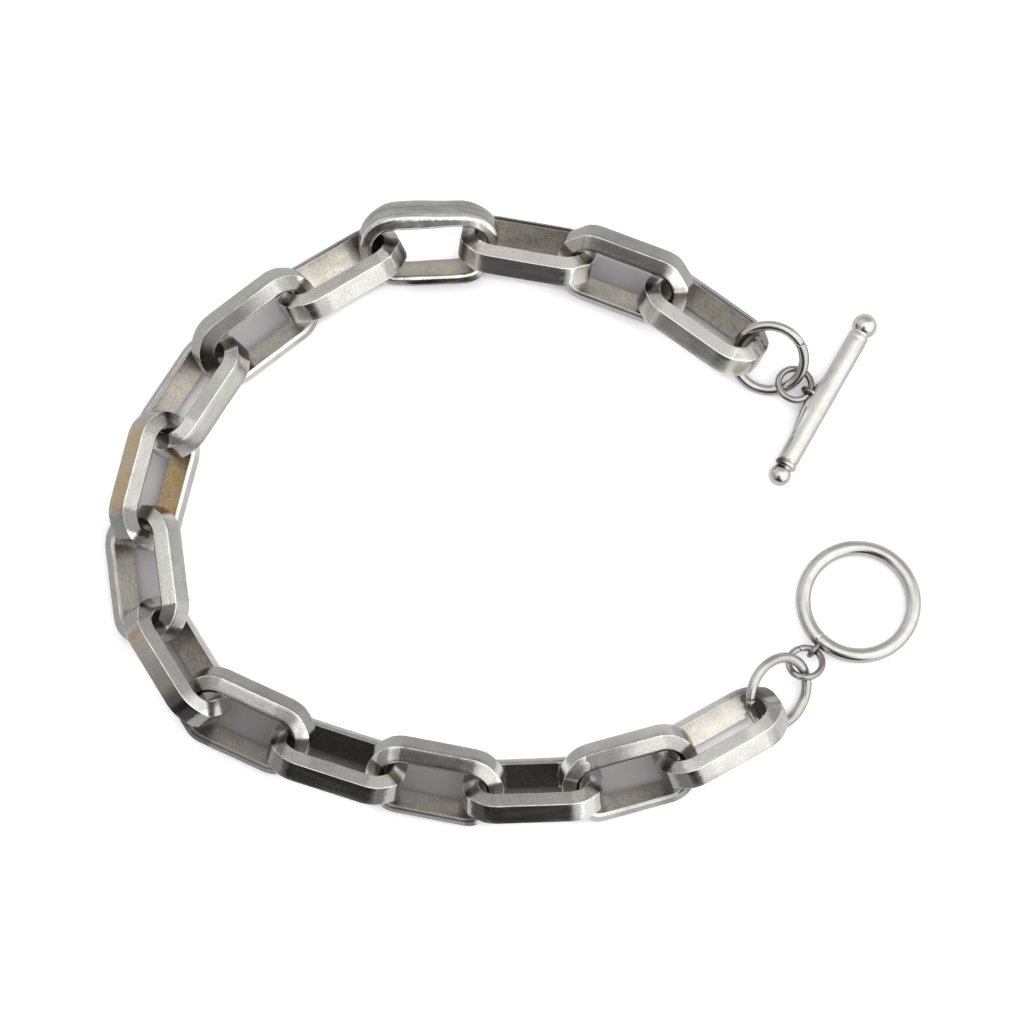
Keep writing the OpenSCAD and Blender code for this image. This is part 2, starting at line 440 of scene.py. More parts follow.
def add_piece(node, slot, part, matrix, material, weighted=False):
    """A smooth piece of steel in place of a node's solid. Its map is the strip laid flat, and its attribute
    local keeps each point's place before the matrix, in mm."""
    vertices, faces, uvs = part
    name = "steel_" + node
    mesh = bpy.data.meshes.new(name)
    mesh.from_pydata([tuple(matrix @ (Vector(v) * MM)) for v in vertices], [], faces)
    local = mesh.attributes.new("local", "FLOAT_VECTOR", "POINT")
    local.data.foreach_set("vector", [c for v in vertices for c in v])
    layer = mesh.uv_layers.new(name="Strip")
    layer.data.foreach_set("uv", [c / MAP_UNIT for corners in uvs for corner in corners for c in corner])
    mesh.polygons.foreach_set("use_smooth", [True] * len(mesh.polygons))
    mesh.update()
    mesh.materials.append(material)
    piece = bpy.data.objects.new(name, mesh)
    scene.collection.objects.link(piece)
    if weighted:
        piece.modifiers.new("normals", "WEIGHTED_NORMAL").weight = FACE_WEIGHT
    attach(piece, "root")
    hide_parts(node)


# marks: each is a stretch along a link, from start to end in mm with a soft change at each, and its strength
def whole(strength):
    return None, 0, None, 0, strength


def before(end, soft, strength):
    return None, 0, end, soft, strength


def past(start, soft, strength):
    return start, soft, None, 0, strength


def between(start, end, soft_start, soft_end, strength):
    return start, soft_start, end, soft_end, strength


# painted light and shade on each bevelled link's faces, with the faces' own tone in it, against clean steel:
# outer, bevel, inner, low
TONED_FACES = ("outer", "bevel", "inner", "low")
FACE_LIGHT_AND_TONE = {
    1: (1.6, 1.2, 1.38, 0.36), 2: (0.66, 1.05, 1.15, 1.1), 3: (2.1, 0.96, 1.42, 0.17),
    5: (0.88, 1.05, 0.88, 0.25), 6: (0.8, 0.95, 1.06, 1.32), 7: (0.82, 0.93, 1.18, 0.72),
    8: (0.74, 0.83, 0.88, 1.18), 9: (0.97, 1.13, 1.08, 0.70), 10: (0.84, 1.0, 0.86, 1.35),
    11: (0.70, 1.06, 0.82, 0.47), 12: (0.66, 1.0, 0.2, 0.80), 13: (0.72, 1.0, 0.78, 0.60),
    14: (0.78, 0.93, 0.20, 0.80), 15: (0.92, 1.02, 0.98, 0.84), 16: (1.18, 1.3, 2.1, 1.14),
}
# stretches of painted light and shade on each link's faces, partly real wear and tarnish, darker below 1 and
# brighter above
LIGHT_AND_WEAR_MARKS = {
    1: dict(
        outer=[past(4.4, 0.4, 0.74), between(1.2, 2.8, 0.6, 0.5, 1.2)],
        bevel=[between(-5.2, 4.4, 0.4, 0.6, 1.5), between(-5.4, -2.6, 0.3, 0.6, 2.2), past(6.5, 0.3, 0.08)],
        low=[before(-5.8, 0.3, 1.4), between(2.8, 4.2, 0.3, 0.3, 1.9)],
        rim=[before(-5.6, 0.3, 1.7)]),
    2: dict(
        outer=[before(-4.0, 1.2, 1.2)],
        bevel=[between(-4.4, 3.4, 0.4, 0.4, 0.85), before(-5.4, 0.4, 1.6), before(-6.7, 0.2, 3.6),
               between(-5.6, -4.2, 0.2, 0.2, 1.4), between(4.2, 5.4, 0.2, 0.2, 0.72)],
        inner=[before(-2.7, 0.3, 0.2), past(4.2, 0.3, 2.0)],
        low=[between(-5.6, -4.0, 0.3, 0.3, 2.5), before(-6.6, 0.2, 1.4)]),
    3: dict(
        outer=[between(-4.2, -2.8, 0.2, 0.3, 1.35), between(2.6, 4.2, 0.3, 0.2, 1.4), past(6.7, 0.2, 0.6),
               before(-5.4, 0.3, 1.35), before(-6.6, 0.2, 1.4), past(2.8, 0.5, 1.6), past(4.6, 0.3, 0.5),
               between(-5.4, -4.2, 0.3, 0.3, 0.45)],
        bevel=[between(-5.6, 5.4, 0.4, 0.4, 1.75), between(-6.6, -4.2, 0.2, 0.3, 1.3),
               before(-6.8, 0.3, 0.2), between(5.6, 6.8, 0.3, 0.3, 0.7), past(6.8, 0.3, 0.2)],
        low=[past(4.2, 0.4, 1.9)]),
    4: dict(
        outer=[whole(0.66)],
        inner=[before(-4.2, 0.3, 0.35), past(-3.0, 1.0, 1.25)],
        low=[before(-5.4, 0.3, 1.6), between(-5.2, -3.8, 0.5, 0.8, 0.25), between(-4.1, 2.4, 0.8, 0.8, 0.6),
             past(2.6, 0.6, 1.6)],
        round=[whole(1.35)],
        under=[between(0.6, 5.2, 0.8, 0.6, 1.2), past(5.2, 0.6, 0.36), before(-5.4, 0.5, 1.9)],
        lip=[whole(1.4)]),
    5: dict(
        outer=[before(-6.7, 0.2, 0.65), between(-4.2, 4.2, 0.4, 0.2, 1.25),
               between(2.9, 4.2, 0.3, 0.2, 0.7), before(-5.4, 0.3, 1.6), between(-6.6, -5.4, 0.2, 0.2, 1.6),
               between(-5.4, -4.2, 0.2, 0.2, 0.68), past(6.6, 0.2, 1.7)],
        bevel=[before(-5.4, 0.2, 0.62), between(-6.6, -5.4, 0.2, 0.2, 0.4),
               between(-5.4, -4.3, 0.2, 0.3, 1.5), past(6.8, 0.3, 0.15)],
        inner=[past(-2.4, 0.6, 2.0), past(2.6, 0.6, 1.3), before(-3.2, 0.3, 0.45)],
        low=[past(-0.5, 1.5, 1.9), between(-5.6, -4.0, 0.3, 0.4, 0.5), before(-6.6, 0.3, 2.4)]),
    6: dict(
        bevel=[past(-1.6, 3.2, 0.27), before(-5.4, 0.3, 0.56), before(-6.7, 0.2, 3.2),
               between(-5.4, -4.2, 0.3, 0.3, 0.68)],
        inner=[past(2.7, 0.3, 0.18), before(-4.2, 0.3, 1.7)],
        low=[before(-2.6, 1.2, 0.74), past(0.8, 0.8, 1.14)]),
    7: dict(
        outer=[before(-6.8, 0.3, 0.5), between(-6.7, -5.2, 0.2, 0.4, 1.6), past(5.4, 0.5, 1.35),
               past(6.7, 0.2, 1.9)],
        bevel=[past(6.7, 0.2, 1.5), between(3.0, 5.4, 0.3, 0.2, 1.45), between(5.5, 6.6, 0.2, 0.2, 0.4),
               before(-6.7, 0.2, 0.5), between(-5.4, -2.6, 0.3, 0.4, 1.17)],
        inner=[before(-3.4, 0.3, 0.6)]),
    8: dict(
        outer=[past(5.4, 0.3, 0.68)],
        bevel=[between(4.4, 6.7, 0.25, 0.2, 0.5), before(-6.8, 0.3, 0.55), before(-4.2, 0.4, 0.77),
               past(6.8, 0.2, 5.5)],
        low=[between(-5.4, -4.2, 0.2, 0.2, 1.25), between(5.4, 6.7, 0.2, 0.2, 3.5)]),
    9: dict(
        outer=[between(5.4, 6.7, 0.2, 0.2, 1.2), before(-6.7, 0.2, 0.6), past(4.2, 0.5, 1.25),
               past(6.7, 0.3, 4.5), between(-6.6, -5.4, 0.2, 0.2, 1.35)],
        bevel=[between(4.3, 6.6, 0.15, 0.2, 0.25), before(-5.4, 0.3, 0.74), past(6.7, 0.2, 2.0)],
        inner=[before(-4.2, 0.2, 4.0), past(2.8, 0.5, 1.2)]),
    10: dict(
        outer=[before(-5.4, 0.3, 0.76), between(-4.2, -1.0, 0.3, 1.0, 1.28),
               between(3.0, 6.6, 0.9, 0.25, 0.4), between(5.5, 6.6, 0.2, 0.2, 0.4), past(0.6, 1.0, 0.85)],
        bevel=[before(-6.8, 0.3, 0.28), between(-6.8, -5.4, 0.2, 0.2, 0.7), past(6.7, 0.3, 1.8)],
        inner=[before(-1.6, 0.6, 0.6), past(2.8, 0.3, 1.3)],
        low=[before(-5.4, 0.3, 0.5), past(5.4, 0.3, 0.22)]),
    11: dict(
        outer=[before(-6.6, 0.2, 1.7), between(-0.5, 5.4, 0.6, 0.6, 0.87)],
        bevel=[before(-6.7, 0.2, 3.6), between(-6.4, -4.0, 0.3, 0.3, 0.5), between(2.8, 5.4, 0.3, 0.3, 0.7),
               past(6.8, 0.3, 4.2)],
        low=[between(-5.2, -2.6, 0.3, 0.3, 0.33), before(-5.4, 0.3, 0.24), past(5.4, 0.3, 3.4)]),
    12: dict(
        outer=[before(-6.6, 0.2, 1.4), before(-5.5, 0.3, 0.64), between(-5.4, -4.2, 0.2, 0.2, 0.48),
               between(-5.6, 4.4, 0.5, 0.4, 0.85), between(4.4, 6.3, 0.4, 0.2, 0.55), past(6.4, 0.2, 1.65)],
        bevel=[before(-6.8, 0.2, 0.28), between(-6.6, -5.6, 0.2, 0.3, 0.55),
               between(-5.4, -2.6, 0.3, 0.5, 1.17), between(4.2, 6.7, 0.3, 0.3, 1.45)],
        low=[before(-5.2, 0.3, 0.16), past(5.2, 0.3, 0.17)]),
    13: dict(
        outer=[past(6.4, 0.3, 3.4)],
        bevel=[between(-4.2, 4.0, 0.25, 0.25, 0.45), between(2.6, 4.0, 0.3, 0.2, 1.3),
               between(-5.4, -4.3, 0.2, 0.2, 1.65), before(-6.7, 0.2, 1.7),
               between(-6.6, -5.5, 0.2, 0.2, 0.72), past(6.8, 0.2, 5.5)],
        inner=[past(3.0, 0.3, 0.6)],
        low=[before(-5.2, 0.3, 1.95), between(-5.2, -2.8, 0.3, 0.4, 0.74),
             between(4.0, 5.2, 0.3, 0.3, 0.43), past(5.2, 0.3, 4.2)]),
    14: dict(
        outer=[before(-6.8, 0.2, 1.4), between(-6.8, 4.0, 0.3, 0.4, 0.8),
               between(-6.8, -5.0, 0.3, 0.4, 0.22), past(5.2, 0.3, 2.3), past(6.7, 0.2, 0.7)],
        bevel=[before(-6.8, 0.3, 0.32), between(-6.6, -4.2, 0.3, 0.3, 0.85),
               between(4.2, 5.6, 0.2, 0.2, 1.3), past(6.8, 0.2, 0.48)],
        inner=[before(-3.0, 0.3, 4.0), past(3.0, 0.3, 12.0)],
        low=[past(2.6, 0.6, 0.68), before(-5.4, 0.3, 0.1), past(5.4, 0.3, 0.7)]),
    15: dict(
        outer=[before(-6.8, 0.2, 1.4), past(6.8, 0.2, 0.75), before(-6.4, 0.3, 2.6),
               between(-6.4, -4.4, 0.3, 0.5, 0.77), between(2.5, 6.0, 1.5, 0.5, 1.2), past(5.6, 0.3, 0.76)],
        bevel=[between(-6.4, -4.3, 0.3, 0.15, 1.35), between(-4.3, 0.4, 0.15, 2.4, 0.36),
               between(4.4, 6.7, 0.5, 0.3, 0.72)],
        inner=[before(-2.8, 0.4, 1.35), between(1.0, 3.8, 1.5, 0.3, 0.62), past(4.3, 0.2, 3.0)],
        low=[before(-5.4, 0.3, 1.7), between(4.2, 5.4, 0.3, 0.3, 1.55), before(-2.6, 1.6, 1.4),
             past(2.6, 0.8, 0.66)]),
    16: dict(
        outer=[between(-6.7, -4.3, 0.25, 0.2, 0.3), between(-4.2, -2.6, 0.2, 0.4, 0.8),
               past(5.2, 0.3, 1.05), between(4.2, 5.4, 0.3, 0.2, 0.76), before(-6.6, 0.3, 0.65)],
        bevel=[before(-6.8, 0.2, 0.66), between(2.4, 5.6, 0.6, 0.4, 1.22), before(-6.6, 0.3, 0.4),
               between(-6.8, -5.4, 0.3, 0.3, 0.56), past(5.5, 0.3, 0.68)],
        inner=[before(-4.0, 0.3, 0.16), past(4.2, 0.3, 0.24)],
        low=[between(4.2, 5.4, 0.3, 0.3, 0.66), past(6.6, 0.2, 1.8), past(3.0, 0.8, 0.45),
             past(5.2, 0.3, 0.35), before(-6.6, 0.3, 0.2)]),
}
# golden oxide, with its share as the strength
GOLDEN = {
    8: dict(outer=[between(-5.2, 5.0, 0.8, 0.8, 0.75)], inner=[whole(1.0)]),
    10: dict(outer=[between(-5.0, -3.6, 0.5, 0.5, 0.5)]),
}
# the raised bar's inner lip and the low bar's: a painted highlight when positive, a painted shadow line when
# negative
LIP_HIGHLIGHT_AND_SHADOW = {1: (0.0, 0.3), 2: (-0.75, -0.5), 3: (0.1, -0.5), 5: (0.35, 1.0), 6: (1.0, 1.0), 7: (0.3, 0.8),
        8: (0.3, 1.0), 9: (0.1, 0.8), 10: (0.1, 0.7), 11: (-0.75, -0.6), 12: (0.1, 0.2), 13: (-0.45, -0.6),
        14: (0.3, 0.3), 15: (-0.8, 0.5), 16: (0.1, 0.4)}
# burnt spots as (x, y, z, radius) in local mm: a weld bead on the link at the bar's end, burrs on another
SPOTS = {
    1: [(-5.9, -1.5, 1.7, 0.30), (-6.7, -1.2, 1.55, 0.26), (-7.35, -1.1, 1.3, 0.36),
        (-7.6, -0.95, 0.85, 0.42)],
    15: [(-4.7, 2.8, 1.7, 0.28), (-3.5, 3.2, 1.75, 0.22)],
}


# colours of the steel
WARMTH = (1.012, 1.0, 0.962)
SATIN_TONE, SATIN_LIMIT, POLISHED_LIMIT = 0.56, (0.96, 0.95, 0.94), (0.97, 0.96, 0.95)
# edge colours: worn arrises with a painted highlight, and a painted shadow line under the lips
WORN_EDGE_AND_HIGHLIGHT, PAINTED_LIP_SHADOW, GOLD = (0.95, 0.95, 0.94), grey(0.07, 0.10), (1.28, 0.98, 0.60)
MATTE_PALE, MATTE_DEEP, MATTE_SPECK = grey(0.52, 0.05), grey(0.40, 0.07), grey(0.26, 0.07)
# the crevice colour is a painted shade, dark where the next link crosses the inner face
CREVICE_SHADE_PAINT, BURN, DARK_SPOT_GREY = grey(0.08, 0.05), grey(0.07, 0.3), grey(0.06, 0.15)
# height of the relief in metres
SATIN_RELIEF, POLISHED_RELIEF = 0.000016, 0.00003
# where a bevelled link's edges are, in mm round its section from the middle of the outer face, and where its
# faces begin and end there, as the start and the end of each change
ARRIS_AT, LIP_AT, LIP_SHADOW_AT = 1.14, 2.75, 2.82
OUTER_END, BEVEL_END, INNER_FROM = (1.06, 1.2), (2.66, 2.84), (3.0, 3.2)
# the same for the polished link
ROUND_FROM, UNDER_FROM, LIP_FROM, MATTE_FROM = (1.05, 1.3), (1.75, 1.95), (2.35, 2.5), (2.78, 3.08)
LOW_END = (2.3, 2.5)
# roughness of polished steel, least and most, and its share that is left on the bar's mirror polished ends
GLOSS, BAR_GLOSS, MIRROR_SHARE = (0.10, 0.17), (0.22, 0.30), 0.38


def start_steel(name):
    """A new material with its calls, the map as (along, around) and the place in the piece, both in mm."""
    material, n = new_material(name)
    uv = n.add("ShaderNodeUVMap", uv_map="Strip").outputs[0]
    along, around, _ = n.parts(n.vector("SCALE", uv, MAP_UNIT))
    local = n.add("ShaderNodeAttribute", attribute_name="local").outputs["Vector"]
    return material, n, (along, around), local


def finish_steel(n, color, rough, height, relief):
    shader = n.add("ShaderNodeBsdfPrincipled")
    n.put(shader.inputs["Base Color"], n.vector("MULTIPLY", color, WARMTH))
    shader.inputs["Metallic"].default_value = 1.0
    n.put(shader.inputs["Roughness"], rough)
    bump = n.add("ShaderNodeBump")
    n.put(bump.inputs["Height"], height)
    bump.inputs["Strength"].default_value = 1.0
    bump.inputs["Distance"].default_value = relief
    n.put(shader.inputs["Normal"], bump.outputs[0])
    n.put(n.add("ShaderNodeOutputMaterial").inputs[0], shader.outputs[0])


def shares(n, u, faces, marks):
    """For each mark, how strongly it is there and its strength."""
    for face, stretches in marks.items():
        for start, soft_start, end, soft_end, strength in stretches:
            here = faces[face]
            if start is not None:
                here = n.times(here, n.ramp(u, start - soft_start, start + soft_start))
            if end is not None:
                here = n.times(here, n.fall(u, end - soft_end, end + soft_end))
            yield here, strength


def satin_faces(n, off, turn, raised):
    """How much each place belongs to each face of a bevelled link. off is how far it is round the section
    from the middle of the outer face, turn the same with its sign, raised its share of the raised bar."""
    low = n.less(1.0, raised)
    outer = n.fall(off, *OUTER_END)
    inner = n.ramp(off, *INNER_FROM)
    bevel = n.times(n.ramp(off, *OUTER_END), n.fall(off, *BEVEL_END))
    return {
        "outer": n.times(outer, raised),
        "bevel": n.times(bevel, raised, n.ramp(turn, -0.1, 0.1)),
        "inner": n.times(inner, low),
        "low": n.times(n.less(1.0, inner), low, n.ramp(turn, 0.6, 1.15)),
        "rim": n.times(outer, low),
    }


def satin(place, around, side):
    """Brushed steel of a bevelled link: grain along the strip, worn arrises with painted highlights, stained
    inner face with painted shade toward its ends, and marks of painted light and shade with some wear.
    around is the length round its section, side the sign of v of the raised bar."""
    material, n, strip, local = start_steel(f"satin_link_{place:02d}")
    turn = n.less(strip[1], around / 2)
    off = n.math("ABSOLUTE", turn)
    u, v, _ = n.parts(local)
    reach = n.math("ABSOLUTE", u)
    fine = n.drawn(strip, 0.5, 11.0, place * 3.7)
    broad = n.drawn(strip, 0.22, 1.6, place * 5.1, 2, 0.5)
    stain = n.clouds(local, (place * 11.0, place * 3.0, 0.0), 0.35, 4, 0.6)
    speck = n.clouds(local, (place * 5.0, 0.0, place * 9.0), 3.4, 3, 0.7)
    wear = n.clouds(local, (place * 4.0, place, 0.0), 1.1, 2, 0.6)
    grain = n.clouds(local, (place * 2.0, place * 8.0, 0.0), 7.5, 2, 0.7)
    inner = n.ramp(off, *INNER_FROM)
    raised = n.ramp(n.times(v, side), -0.3, 0.5)
    faces = satin_faces(n, off, turn, raised)

    # clean steel outside and matte, speckled steel inside, each face and each mark with its own tone and its
    # painted light and shade
    clean = n.mix(n.ramp(stain, 0.35, 0.7), grey(SATIN_TONE * 1.06, 0.012), grey(SATIN_TONE * 0.92, 0.02))
    clean = n.mix(n.ramp(fine, 0.35, 0.8, 0.0, 0.45), clean, grey(SATIN_TONE * 0.68, 0.02))
    matte = n.mix(n.ramp(stain, 0.3, 0.75), MATTE_PALE, MATTE_DEEP)
    matte = n.mix(n.ramp(speck, 0.42, 0.66, 0.0, 0.55), matte, MATTE_SPECK)
    shade = 1.0
    for face, strength in zip(TONED_FACES, FACE_LIGHT_AND_TONE[place]):
        shade = n.times(shade, n.where(faces[face], strength))
    # painted light and shade, with some wear, along each face from the marks
    ragged = n.plus(u, n.ramp(speck, 0.3, 0.7, -0.18, 0.18))
    for here, strength in shares(n, ragged, faces, LIGHT_AND_WEAR_MARKS[place]):
        shade = n.times(shade, n.where(here, strength))
    color = n.vector("SCALE", n.mix(inner, clean, matte), shade)
    for here, share in shares(n, ragged, faces, GOLDEN.get(place, {})):
        patchy = n.times(here, n.ramp(stain, 0.3, 0.55, share * 0.7, share))
        color = n.mix(patchy, color, n.vector("MULTIPLY", color, GOLD))
    color = n.vector("SCALE", color, n.ramp(grain, 0.3, 0.7, 0.84, 1.14))
    # painted shade on the inner face toward the ends, where the next link crosses
    color = n.mix(n.times(n.ramp(reach, 4.4, 6.0), inner, 0.78), color, CREVICE_SHADE_PAINT)
    color = n.vector("MINIMUM", color, SATIN_LIMIT)

    # bright arrises, partly worn metal and partly painted highlight, and inner lips with a painted highlight
    # on some links and a painted shadow line on others
    raised_lip, low_lip = LIP_HIGHLIGHT_AND_SHADOW[place]
    on_lip = n.math("MULTIPLY_ADD", raised, raised_lip - low_lip, low_lip)
    lip = n.times(n.fall(n.apart(off, LIP_AT), 0.02, 0.16), n.ramp(reach, 4.0, 5.4, 1.0, 0.12))
    lip = n.times(lip, n.math("MAXIMUM", on_lip, 0.0))
    arris = n.fall(n.apart(off, ARRIS_AT), 0.02, 0.13)
    edge = n.times(n.math("MAXIMUM", arris, lip), n.ramp(wear, 0.36, 0.62, 0.35, 0.85))
    color = n.mix(edge, color, n.vector("SCALE", WORN_EDGE_AND_HIGHLIGHT, n.ramp(shade, 0.2, 0.85, 0.35, 1.0)))
    lip_shadow = n.math("MAXIMUM", n.times(on_lip, -1.0), 0.0)
    color = n.mix(n.times(n.fall(n.apart(off, LIP_SHADOW_AT), 0.05, 0.3), lip_shadow), color, PAINTED_LIP_SHADOW)
    for *spot, radius in SPOTS.get(place, []):
        color = n.spot(color, local, spot, radius, 0.5, 1.2, 0.9, BURN)
    color = n.mix(n.ramp(speck, 0.68, 0.8, 0.0, 0.45), color, grey(0.22, 0.03))

    rough = n.plus(n.ramp(broad, 0.3, 0.7, 0.15, 0.23), n.times(inner, 0.24))
    rough = n.less(rough, n.times(edge, 0.06))
    height = n.plus(n.plus(n.times(fine, 0.45), n.times(speck, 0.22)), n.times(grain, 0.12))
    finish_steel(n, color, rough, height, SATIN_RELIEF)
    return material


def polish(n, strip, local, seed, tone, gloss, streaks):
    """Polished steel with faint draw lines, specks and long stains: colour, roughness, lines and clouds."""
    lines = n.drawn(strip, 0.4, 6.0, seed * 2.3)
    cloud = n.clouds(local, (seed * 7.0, 0.0, seed), 0.8, 3, 0.55)
    speck = n.clouds(local, (0.0, seed * 5.0, seed), 4.0, 2, 0.6)
    color = n.mix(n.ramp(cloud, 0.35, 0.7), grey(tone, 0.01), grey(tone * 0.9, 0.02))
    color = n.mix(n.ramp(lines, 0.4, 0.8, 0.0, 0.2), color, grey(tone * 0.6, 0.02))
    color = n.mix(n.ramp(speck, 0.7, 0.8, 0.0, 0.4), color, grey(0.3, 0.05))
    if streaks:
        band = n.drawn(strip, 0.16, 1.1, seed * 1.7)
        color = n.mix(n.ramp(band, 0.46, 0.62, 0.0, streaks), color, grey(tone * 0.45, 0.05))
    return color, n.ramp(cloud, 0.3, 0.7, *gloss), lines, cloud


def polished(name, seed, tone, gloss=GLOSS, streaks=0.0, mirror_past=None, dark_at=()):
    """Polished steel of rings and bar. streaks is how dark its long stains are. Past mirror_past in mm from
    its middle it is mirror polished. dark_at holds darker spots as (x, y, z, radius) in mm."""
    material, n, strip, local = start_steel(name)
    color, rough, lines, cloud = polish(n, strip, local, seed, tone, gloss, streaks)
    if mirror_past is not None:
        x, _, _ = n.parts(local)
        end = n.ramp(n.math("ABSOLUTE", x), mirror_past, mirror_past + 0.3)
        rough = n.times(rough, n.where(end, MIRROR_SHARE))
    for *spot, radius in dark_at:
        color = n.spot(color, local, spot, radius, 0.6, 1.15, 0.92, DARK_SPOT_GREY)
    finish_steel(n, color, rough, n.plus(n.times(lines, 0.25), n.times(cloud, 0.4)), POLISHED_RELIEF)
    return material


def polished_strip(place, around, side):
    """Steel of the polished link: waves, long stains, a matte inner face with painted shade toward its ends,
    and marks of painted light and shade with some wear.
    """
    material, n, strip, local = start_steel(f"polished_link_{place:02d}")
    color, rough, lines, cloud = polish(n, strip, local, place, 0.62, GLOSS, 0.45)
    turn = n.less(strip[1], around / 2)
    off = n.math("ABSOLUTE", turn)
    inner = n.ramp(off, *MATTE_FROM)
    stain = n.noise(local, 0.5, 3, 0.6)
    color = n.mix(inner, color, n.mix(n.ramp(stain, 0.35, 0.7), grey(0.50, 0.06), grey(0.40, 0.08)))
    u, v, _ = n.parts(local)
    raised = n.ramp(n.times(v, side), 0.6, 1.6)
    low = n.less(1.0, raised)
    lit = n.times(raised, n.ramp(turn, -0.1, 0.1))
    faces = {
        "outer": n.times(raised, n.fall(off, *ROUND_FROM)),
        "round": n.times(lit, n.ramp(off, *ROUND_FROM), n.fall(off, *UNDER_FROM)),
        "under": n.times(lit, n.ramp(off, *UNDER_FROM), n.fall(off, *LIP_FROM)),
        "lip": n.times(n.ramp(off, *LIP_FROM), n.less(1.0, inner)),
        "inner": n.times(low, inner),
        "low": n.times(low, n.fall(off, *LOW_END)),
    }
    # painted highlights and shade, with some wear, along the polished link's faces from the marks
    for here, strength in shares(n, u, faces, LIGHT_AND_WEAR_MARKS[place]):
        color = n.vector("SCALE", color, n.where(here, strength))
    color = n.vector("MINIMUM", color, POLISHED_LIMIT)
    # painted shade on the inner face toward the ends, where the next link crosses
    color = n.mix(n.times(n.ramp(n.math("ABSOLUTE", u), 4.6, 6.2), inner, 0.72), color, CREVICE_SHADE_PAINT)
    rough = n.plus(rough, n.times(inner, 0.3))
    rough = n.plus(rough, n.times(faces["under"], 0.2))
    rough = n.plus(rough, n.times(faces["low"], n.ramp(u, 2.0, 3.4, 0.0, 0.22)))
    finish_steel(n, color, rough, n.plus(n.times(lines, 0.25), n.times(cloud, 2.4)), POLISHED_RELIEF)
    return material


# links
# how uneven the faces of each kind of link are, in mm, and how fast that changes along, across and through it
LINK_WAVE, POLISHED_WAVE, WAVE_PACE, WAVE_SEED = 0.035, 0.12, (0.32, 0.32, 0.5), 7.3
# how flat each link's corners are filed, from 0 (round) to 1
CORNER_FLATS = {1: 0.5, 2: 0.8, 3: 0.8, 5: 0.7, 6: 0.15, 7: 0.35, 8: 0.3, 9: 0.35, 10: 0.5, 11: 0.3, 12: 0.45,
                13: 0.4, 14: 0.5, 15: 0.25, 16: 0.6}
# how much is filed off the upper side of the low bar's outer face, in mm
LOW_FILED = {2: 0.42, 6: 0.4, 10: 0.2, 11: 0.5, 13: 0.5, 15: 0.42}
# the polished strip's edge radii, how much wider it is at the middle of its bars, and how far from there
POLISHED_EDGES, POLISHED_SPREAD, SPREAD_REACH = [0.46, 0.42], 0.24, 5.6
# how far its raised bar's outer face stands out: (middle along the bar, half length, amount)
POLISHED_BOW = (2.2, 3.9, 0.40)
# how much higher it lies, so that the wider strip stays on the floor
POLISHED_LIFT = 0.06
# steps of the rounded edges of each kind of link, and of the source's polished link
ROUND_STEPS, POLISHED_STEPS, EDGE_STEPS = 4, 7, 4


def link_mesh(dims, profile, wave, seed, side, facet=0.0, spread=0.0, bow=None, filed=0.0):
    """A strip bent into a link, and the length round its section. side is the sign of v of the raised bar,
    facet how flat its corners are filed, spread how much wider its bars are in the middle, bow how the raised
    bar stands out, filed how much is off the low bar."""
    path = loop_path(**dims)
    deep = max(d for d, _ in profile)
    rings = []
    for x, y, ox, oy, inset in path:
        low = within((-y * side - 1.0) / 2.5)
        ring = []
        for depth, across in profile:
            d = depth + inset * facet * max(0.0, 1 - depth / (0.75 * deep))
            d += filed * low * max(0.0, 1 - depth / (0.8 * deep)) * within((across + 1.1) / 2.2)
            p = Vector((x - ox * d, y - oy * d, across))
            place = Vector((p.x * WAVE_PACE[0] + seed * WAVE_SEED, p.y * WAVE_PACE[1], p.z * WAVE_PACE[2]))
            q = noise.noise(place) * wave
            near = max(0.0, 1 - (p.x / SPREAD_REACH) ** 2) if across > 0 or y * side > 0 else 0.0
            if bow and y * side > 0:
                middle, half, out = bow
                q -= out * math.exp(-((p.x - middle) / half) ** 2) * max(0.0, 1 - depth / deep)
            wider = 1 + 0.25 * min(q, wave) + spread * near * (2 - near)
            ring.append((p.x - ox * q, p.y - oy * q, p.z * wider))
        rings.append(ring)
    around = lengths(profile)
    return swept(rings, lengths([(x, y) for x, y, *_ in path]), around), around[-1]


def rest_height(width, half, lean):
    """How high a leaning link's middle lies when its strip rests on the floor."""
    s, c = math.sin(math.radians(abs(lean))), math.cos(math.radians(lean))
    return max((width / 2 - d) * s + w * c for d, w in half)


def quarter(k):
    """How far the source's rounded edge is in from each of its two sides, k steps of its quarter turn on."""
    turn = math.radians(90 * k / EDGE_STEPS)
    return POLISHED_ROUND * (1 - math.cos(turn)), POLISHED_ROUND * (1 - math.sin(turn))


link_profile = section(LINK_HALF, LINK_ROUND, ROUND_STEPS)
polished_profile = section([(0, POLISHED_HALF), (POLISHED_T, POLISHED_HALF)], POLISHED_EDGES, POLISHED_STEPS)
arc = [quarter(k) for k in range(EDGE_STEPS + 1)]
polished_half = [(c, POLISHED_HALF - s) for c, s in arc]
polished_half += [(POLISHED_T - s, POLISHED_HALF - c) for c, s in arc]
for place, (x, y, heading, lean) in enumerate(ROWS, 1):
    side = 1 if lean > 0 else -1
    if place == POLISHED_PLACE:
        part, around = link_mesh(POLISHED, polished_profile, POLISHED_WAVE, place, side,
                                 spread=POLISHED_SPREAD, bow=POLISHED_BOW)
        z = rest_height(POLISHED["width"], polished_half, lean) + POLISHED_LIFT
        slot, material = "polished_link", polished_strip(place, around, side)
    else:
        part, around = link_mesh(LINK, link_profile, LINK_WAVE, place, side,
                                 facet=CORNER_FLATS[place], filed=LOW_FILED.get(place, 0.0))
        z = rest_height(LINK["width"], LINK_HALF, lean)
        slot, material = "bevelled_links", satin(place, around, side)
    add_piece(f"link_{place:02d}", slot, part, placed((x, y), z, heading, lean), material, weighted=True)


